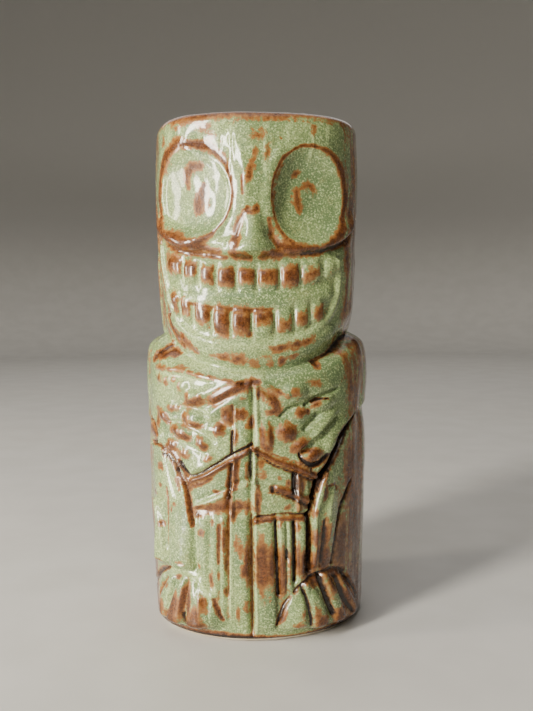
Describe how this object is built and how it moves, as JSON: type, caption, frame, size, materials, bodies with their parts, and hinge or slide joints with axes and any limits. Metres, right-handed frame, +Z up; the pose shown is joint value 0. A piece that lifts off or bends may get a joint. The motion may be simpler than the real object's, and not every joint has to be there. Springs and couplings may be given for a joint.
{
  "type": "tiki mug",
  "caption": "Tall ceramic tiki mug cast as a carved figure: a wide-eyed grinning head, hands folded on the chest, loincloth and feet, glazed inside and out.",
  "frame": {"origin": "middle of the flat underside, where the mug stands", "axes": "+Z up through the mouth, -Y towards the figure's face, +X to the viewer's right when the face is looked at"},
  "size_m": [0.076, 0.0717, 0.165],
  "materials": {
    "stoneware": "bare fired clay, matt, seen only at the foot",
    "breaking_green_glaze": "satin-gloss speckled green glaze that breaks to brown on raised edges",
    "liner_glaze": "glossy green-brown liner glaze"
  },
  "bodies": {
    "root": {"clay_body": "stoneware", "outer_glaze": "breaking_green_glaze", "liner_glaze": "liner_glaze"}
  },
  "joints": []
}
